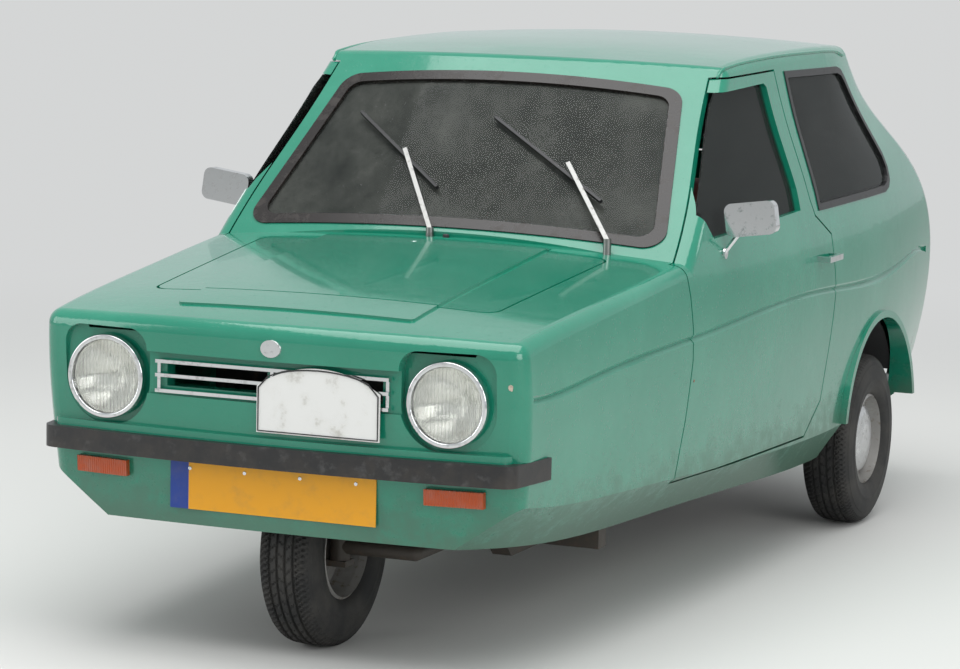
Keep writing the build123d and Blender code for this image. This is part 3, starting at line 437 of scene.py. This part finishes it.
slotFinish = {
    "body_paint": "bodyPaint", "black_rubber": "blackRubber", "screen_seal": "screenRubber",
    "clear_glass": "clearGlass", "chrome_trim": "chrome", "lamp_reflector": "reflector",
    "amber_lens": "amberLens", "red_lens": "redLens", "yellow_plate": "plateFinish",
    "white_plate": "whitePlastic", "wiper_metal": "wiperMetal", "black_metal": "blackMetal",
    "engine_iron": "engineIron", "rusty_steel": "rustySteel", "wheel_paint": "wheelPaint",
    "tyre_rubber": "tyreRubber", "dark_trim": "darkTrim", "seat_cloth": "seatCloth",
}
special = {"headlamp_glasses": "lampGlass", "windscreen": "screenGlass"}
slotOf = {part["node"]: part["material_slot"] for part in frame["record"]["subparts"]}
for name, obj in nodes.items():
    finish = made[slotFinish[slotOf[name]]]
    if name in special:
        finish = made[special[name]]
    obj.data.materials.clear()
    obj.data.materials.append(finish)
print("materials on", len(nodes), "nodes")


# mesh helpers
def addPiece(name, mesh, finish, body, smooth=40):
    obj = bpy.data.objects.new(name, mesh)
    scene.collection.objects.link(obj)
    obj.data.materials.append(made[finish])
    if smooth:
        for face in mesh.polygons:
            face.use_smooth = True
        mesh.set_sharp_from_angle(angle=math.radians(smooth))
    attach(obj, body)
    return obj


def revolved(name, profile, steps, closed=True):
    mesh = bpy.data.meshes.new(name)
    rows = len(profile)
    verts = []
    for i in range(steps):
        turn = 2 * math.pi * i / steps
        for x, radius in profile:
            verts.append((x, radius * math.cos(turn), radius * math.sin(turn)))
    faces = []
    for i in range(steps):
        j = (i + 1) % steps
        for k in range(rows if closed else rows - 1):
            m = (k + 1) % rows
            faces.append((i * rows + k, j * rows + k, j * rows + m, i * rows + m))
    mesh.from_pydata(verts, [], faces)
    return mesh


def tube(name, points, radius, finish, body, cyclic=False):
    curve = bpy.data.curves.new(name, "CURVE")
    curve.dimensions = "3D"
    curve.bevel_depth = radius
    curve.bevel_resolution = 3
    curve.use_fill_caps = True
    line = curve.splines.new("POLY")
    line.points.add(len(points) - 1)
    for point, place in zip(line.points, points):
        point.co = (*place, 1)
    line.use_cyclic_u = cyclic
    holder = bpy.data.objects.new(name, curve)
    scene.collection.objects.link(holder)
    bpy.context.view_layer.update()
    mesh = bpy.data.meshes.new_from_object(holder.evaluated_get(bpy.context.evaluated_depsgraph_get()))
    bpy.data.objects.remove(holder)
    return addPiece(name, mesh, finish, body)


def smoothPath(points, parts=8):
    path = []
    for i in range(len(points) - 1):
        before = Vector(points[max(i - 1, 0)])
        start, end = Vector(points[i]), Vector(points[i + 1])
        after = Vector(points[min(i + 2, len(points) - 1)])
        for k in range(parts):
            t = k / parts
            square = 2 * before - 5 * start + 4 * end - after
            cube = 3 * start - before - 3 * end + after
            path.append(0.5 * (2 * start + (end - before) * t + square * t * t + cube * t ** 3))
    return path + [Vector(points[-1])]


def disc(name, radius, thick, steps=24, rounded=0.3):
    edge = min(thick, radius) * rounded
    profile = [(0, 0.0001), (0, radius), (thick - edge, radius), (thick, radius - edge), (thick, 0.0001)]
    return revolved(name, profile, steps, closed=False)


def turned(mesh, matrix):
    mesh.transform(matrix)
    return mesh


toFront = Matrix.Rotation(math.radians(-90), 4, "Z")  # a disc's face turned to -Y
toTop = Matrix.Rotation(math.radians(-90), 4, "Y")


# tyres with a cut tread
tyre = {"radius": 0.240, "steps": 300, "pitch": 6, "cut": 0.006, "barCut": 0.0035, "row": 0.002,
        "grooves": (-0.030, -0.010, 0.010, 0.030), "grooveHalf": 0.0022, "treadHalf": 0.038, "drop": 0.0022}
tyreWall = [(0.054, 0.127), (0.0585, 0.131), (0.0655, 0.140), (0.0695, 0.155), (0.0712, 0.1655),
            (0.0718, 0.167), (0.0719, 0.172), (0.0712, 0.1735), (0.0713, 0.185), (0.0700, 0.196),
            (0.0665, 0.2105), (0.0652, 0.2115), (0.0610, 0.222), (0.0570, 0.2285)]
tyreShoulder = [(0.0525, 0.2325), (0.0480, 0.2352), (0.0425, 0.2372)]  # both (x, radius), from the bead out


def tyreMesh(name):
    tread = []
    x = tyre["treadHalf"]
    while x > -tyre["treadHalf"] - 0.0001:
        deep = any(abs(x - groove) < tyre["grooveHalf"] for groove in tyre["grooves"])
        crowned = tyre["radius"] - tyre["drop"] * (x / tyre["treadHalf"]) ** 2
        tread.append((x, crowned - (tyre["cut"] if deep else 0)))
        x -= tyre["row"]
    half = tyreWall + tyreShoulder
    profile = half + tread + [(-x, radius) for x, radius in reversed(half)]
    mesh = revolved(name, profile, tyre["steps"])
    for i, vert in enumerate(mesh.vertices):
        x, radius = profile[i % len(profile)]
        if radius < 0.226 or abs(x) > 0.0575:  # below the tread blocks
            continue
        slant = int(round((x + 0.06) / 0.002)) // 3
        block = (i // len(profile) + (slant if abs(x) > 0.011 else -slant)) % tyre["pitch"]
        edge = abs(x) > 0.034
        if (block == 0 or (edge and block == 3)) and (radius > 0.2345 or edge):
            shrink = (radius - (tyre["cut"] if edge else tyre["barCut"])) / radius
            vert.co.y *= shrink
            vert.co.z *= shrink
    return mesh


for wheel in ("front", "rear_left", "rear_right"):
    name = wheel + "_tyre"
    low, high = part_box(name)
    mesh = tyreMesh(name + "_tread")
    mesh.transform(Matrix.Translation((low + high) / 2))
    tread = addPiece(name + "_tread", mesh, "tyreRubber", wheel + "_wheel", smooth=28)
    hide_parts(name)
print("tyres done")

# headlamps: pressed dish and bulb behind each glass
lamp = {"x": 0.430, "s": 52, "z": 0.642, "radius": 0.0845, "depth": 0.055, "rings": 14, "steps": 48}
bulb = [(0.045, 0.009), (0.03, 0.010), (0.02, 0.008), (0.016, 0.0002)]  # (forward, radius)
forward = Matrix.Rotation(math.radians(90), 4, "Z")
for side, tag in ((1, "left"), (-1, "right")):
    spot = Matrix.Translation((side * lamp["x"], yOf(lamp["s"]) + 0.001, lamp["z"])) @ forward
    profile = []
    for k in range(lamp["rings"] + 1):
        share = k / lamp["rings"]
        profile.append((lamp["depth"] * (1 - share ** 2), max(lamp["radius"] * share, 0.0002)))
    profile += [(-0.004, lamp["radius"] + 0.0015), (0.010, lamp["radius"] + 0.0015)]
    dish = turned(revolved("lamp_dish_" + tag, profile, lamp["steps"], closed=False), spot)
    shown = addPiece("lamp_dish_" + tag, dish, "reflector", "car_body")
    if side > 0:
        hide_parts("headlamp_bowls")
    mesh = turned(revolved("bulb_" + tag, bulb, 20, closed=False), spot)
    addPiece("bulb_" + tag, mesh, "lampGlass", "car_body")
print("headlamps done")

# boss, plate screws, bonnet lock and washer jet
badge = {"x": 0.007, "z": 0.741, "wide": 0.027, "tall": 0.022, "thick": 0.045, "s": 13}
spot = Matrix.Translation((badge["x"], yOf(badge["s"]) + 0.004, badge["z"]))
shape = Matrix.Diagonal((badge["wide"], badge["thick"], badge["tall"], 1))
mesh = turned(disc("badge", 1.0, 0.16, 40, 0.6), spot @ shape @ toFront)
addPiece("badge", mesh, "chrome", "car_body")
screws = {"radius": 0.0045, "thick": 0.0018, "across": (-0.21, -0.07, 0.07, 0.21),
          "front": (44, 0.445, toFront), "rear": (3255, 0.68, forward)}  # s, height and facing of each plate
for x in screws["across"]:
    for tag in ("front", "rear"):
        s, height, facing = screws[tag]
        mesh = disc("screw", screws["radius"], screws["thick"], 12)
        mesh = turned(mesh, Matrix.Translation((x, yOf(s), height)) @ facing)
        addPiece(f"plate_screw_{tag}_{int(x * 1000)}", mesh, "chrome", "car_body")
lock = turned(disc("lock", 0.011, 0.006, 24), Matrix.Translation((-0.038, yOf(905), 0.897)) @ toTop)
addPiece("bonnet_lock", lock, "chrome", "bonnet")
jet = turned(disc("jet", 0.008, 0.012, 16), Matrix.Translation((0.01, yOf(990), 0.903)) @ toTop)
addPiece("washer_jet", jet, "darkTrim", "car_body")

# gutters along the roof, laid on its skin
gutter = {"radius": 0.0045, "proud": 0.001,
          "route": [(553, 1440, 1332), (553, 1556, 1340), (556, 1706, 1342), (560, 1899, 1344),
                    (562, 2106, 1341), (562, 2390, 1333), (560, 2470, 1318)]}  # x, s and height in mm
skin = nodes["roof_and_pillars"]
for side, tag in ((1, "left"), (-1, "right")):
    path = []
    for point in smoothPath([(side * x / 1000, yOf(s), z / 1000) for x, s, z in gutter["route"]]):
        _, place, normal, _ = skin.closest_point_on_mesh(point)
        path.append(place + normal * gutter["proud"])
    tube("gutter_" + tag, path, gutter["radius"], "bodyPaint", "car_body")

# headlining and rear-view mirror
lining = {"half": 0.5, "cells": 12, "crown": 0.026, "below": 0.004,  # rows: s and height in mm
          "rows": [(1470, 1318), (1600, 1330), (2000, 1345), (2450, 1340), (2560, 1328)]}
verts, faces = [], []
across = lining["cells"] + 1
for s, z in lining["rows"]:
    for k in range(across):
        x = (2 * k / lining["cells"] - 1) * lining["half"]
        verts.append((x, yOf(s), z / 1000 - lining["crown"] * (x / 0.6) ** 2 - lining["below"]))
for i in range(len(lining["rows"]) - 1):
    for k in range(lining["cells"]):
        n = i * across + k
        faces.append((n, n + across, n + across + 1, n + 1))
mesh = bpy.data.meshes.new("headlining")
mesh.from_pydata(verts, [], faces)
addPiece("headlining", mesh, "headlining", "car_body")
mirror = {"s": 1452, "z": 1.170, "wide": 0.09, "thick": 0.03, "tall": 0.02}
spot = Matrix.Translation((0, yOf(mirror["s"]), mirror["z"]))
shape = Matrix.Diagonal((mirror["wide"], mirror["thick"], mirror["tall"], 1))
mesh = turned(disc("rear_view_mirror", 1.0, 0.4, 40, 0.5), spot @ shape @ toFront)
addPiece("rear_view_mirror", mesh, "darkTrim", "car_body")
stalk = [(0, yOf(mirror["s"]), 1.185), (0, yOf(1470), 1.29)]
tube("mirror_stalk", stalk, 0.005, "darkTrim", "car_body")

# border of the event plate
event = {"x": 0.124, "half": 0.153, "low": 0.548, "high": 0.655, "crown": 0.703, "s": 17.2, "margin": 0.004}
rise = event["crown"] - event["high"]
rim = [(-1, event["low"]), (1, event["low"]), (1, event["high"])]
for k in range(1, 12):
    t = 1 - 2 * k / 12
    rim.append((t, event["high"] + rise * math.sqrt(max(0.0, 1 - t * t * 0.995))))
rim.append((-1, event["high"]))
border = []
for t, z in rim:
    inward = event["margin"] if z < 0.56 else -event["margin"]
    border.append((event["x"] + t * (event["half"] - event["margin"]), yOf(event["s"]), z + inward))
tube("event_border", border, 0.0018, "darkTrim", "car_body", cyclic=True)
print("trim done")

# seats stuffed with foam
seatFill = {"weld": 0.00002, "voxel": 0.013, "pressure": 4.0, "reach": 0.012, "frames": 20, "fill": 0.8}


def stuffed(source):
    bpy.ops.object.select_all(action="DESELECT")
    copy = source.copy()
    copy.data = source.data.copy()
    copy.parent = None
    copy.matrix_world = Matrix.Identity(4)
    scene.collection.objects.link(copy)
    weld = bmesh.new()
    weld.from_mesh(copy.data)
    bmesh.ops.remove_doubles(weld, verts=weld.verts[:], dist=seatFill["weld"])
    weld.to_mesh(copy.data)
    weld.free()
    copy.hide_viewport = False
    bpy.context.view_layer.objects.active = copy
    copy.select_set(True)
    bpy.ops.mesh.separate(type="LOOSE")
    parts = list(bpy.context.selected_objects)
    for part in parts:
        remesh = part.modifiers.new("remesh", "REMESH")
        remesh.mode = "VOXEL"
        remesh.voxel_size = seatFill["voxel"]
        bpy.context.view_layer.objects.active = part
        bpy.ops.object.modifier_apply(modifier="remesh")
        rest = [vert.co.copy() for vert in part.data.vertices]
        cloth = part.modifiers.new("cloth", "CLOTH")
        cloth.settings.use_pressure = True
        cloth.settings.uniform_pressure_force = seatFill["pressure"]
        cloth.settings.effector_weights.gravity = 0
        cloth.settings.quality = 4
        cloth.point_cache.frame_end = seatFill["frames"]
        for step in range(1, seatFill["frames"] + 1):
            scene.frame_set(step)
        swollen = part.evaluated_get(bpy.context.evaluated_depsgraph_get()).to_mesh()
        moved = [vert.co.copy() for vert in swollen.vertices]
        part.modifiers.clear()
        for vert, start, end in zip(part.data.vertices, rest, moved):
            shift = end - start
            limit = seatFill["reach"]
            vert.co = start + (shift if shift.length < limit else shift.normalized() * limit)
    scene.frame_set(1)
    return parts


for source, tag in (("seat_cushions", "cushion"), ("seat_backs", "back")):
    parts = stuffed(nodes[source])
    for i, part in enumerate(parts):
        part.name = f"seat_{tag}_{i}"
        for face in part.data.polygons:
            face.use_smooth = True
        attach(part, "car_body")
        if i == 0:
            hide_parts(source)
print("seats done")

# stone chips in the paint: pixel across and down in the photograph, radius, primer
chips = {"corner": (511, 388, 0.0075, "primerGrey"), "wing": (694, 381, 0.0035, "primerRed")}
chipShape = {"thick": 0.0004, "proud": 0.0006, "ragged": 0.15, "narrow": 0.7}
lensPixels = view["lens"] / photo["sensor"] * photo["wide"]
for tag, (across, down, size, primer) in chips.items():
    ray = right * (across - photo["wide"] / 2) - up * (down - photo["tall"] / 2) - back * lensPixels
    for panel in ("nose_body", "door_left"):
        hit, place, normal, _ = nodes[panel].ray_cast(Vector(view["place"]), ray.normalized())
        if hit:
            break
    flake = bmesh.new()
    bmesh.ops.create_circle(flake, cap_ends=True, radius=size, segments=18)
    ragged = chipShape["ragged"]
    for vert in flake.verts:
        vert.co += Vector((random.uniform(-ragged, ragged), random.uniform(-ragged, ragged), 0)) * size
    bmesh.ops.solidify(flake, geom=flake.faces[:], thickness=chipShape["thick"])
    turn = normal.to_track_quat("Z", "Y").to_matrix().to_4x4()
    narrow = Matrix.Diagonal((chipShape["narrow"], 1.0, 1.0, 1.0))
    flake.transform(Matrix.Translation(place + normal * chipShape["proud"]) @ turn @ narrow)
    mesh = bpy.data.meshes.new("chip_" + tag)
    flake.to_mesh(mesh)
    flake.free()
    addPiece("chip_" + tag, mesh, primer, "car_body")
print("chips done")

# floor, light and sky
backdrop = (0.66, 0.67, 0.67, 1)
floorMesh = bpy.data.meshes.new("floor")
reach = 40
corners = [(-reach, -reach, 0), (reach, -reach, 0), (reach, reach, 0), (-reach, reach, 0)]
floorMesh.from_pydata(corners, [], [(0, 1, 2, 3)])
floor = bpy.data.objects.new("floor", floorMesh)
scene.collection.objects.link(floor)
material, tree, surface, out = newMaterial("floorFinish")
surface.inputs["Base Color"].default_value = (0.62, 0.62, 0.6, 1)
surface.inputs["Roughness"].default_value = 0.75
grain = addNode(tree, "ShaderNodeTexNoise", {"Scale": 3.0, "Detail": 6.0}).outputs["Fac"]
tree.links.new(bump(tree, grain, 0.002), surface.inputs["Normal"])
ground = addNode(tree, "ShaderNodeTexCoord").outputs["Object"]
distance = addNode(tree, "ShaderNodeVectorMath", {0: ground}, operation="LENGTH").outputs["Value"]
seen = addNode(tree, "ShaderNodeLightPath").outputs["Is Camera Ray"]
far = maths(tree, "MULTIPLY", softStep(tree, distance, 2.2, 6.5), seen)
pale = addNode(tree, "ShaderNodeEmission", {"Color": backdrop, "Strength": 1.0})
blend = addNode(tree, "ShaderNodeMixShader", {0: far, 1: surface.outputs[0], 2: pale.outputs[0]})
tree.links.new(blend.outputs[0], out.inputs["Surface"])
floor.data.materials.append(material)
floor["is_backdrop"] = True


def softLight(name, place, size, power):
    lamp = bpy.data.objects.new(name, bpy.data.lights.new(name, "AREA"))
    lamp.data.size = size
    lamp.data.energy = power
    lamp.location = place
    lamp.rotation_euler = (Vector((0, 0, 0.5)) - Vector(place)).to_track_quat("-Z", "Y").to_euler()
    scene.collection.objects.link(lamp)


softLight("overhead", (0.5, -1.5, 6.5), 7, 420)
softLight("left_side", (6.5, -4.5, 3.2), 4, 160)
softLight("right_side", (-6.0, -5.0, 2.6), 4, 110)
world = bpy.data.worlds.new("sky")
scene.world = world
world.use_nodes = True
sky = world.node_tree
sky.nodes.clear()
glow = addNode(sky, "ShaderNodeBackground", {"Color": (0.85, 0.88, 0.9, 1), "Strength": 0.75})
plain = addNode(sky, "ShaderNodeBackground", {"Color": backdrop, "Strength": 1.0})
ray = addNode(sky, "ShaderNodeLightPath")
seen = ray.outputs["Is Camera Ray"]
pick = addNode(sky, "ShaderNodeMixShader", {0: seen, 1: glow.outputs[0], 2: plain.outputs[0]})
addNode(sky, "ShaderNodeOutputWorld", {"Surface": pick.outputs[0]})

low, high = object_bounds()
print("finished")
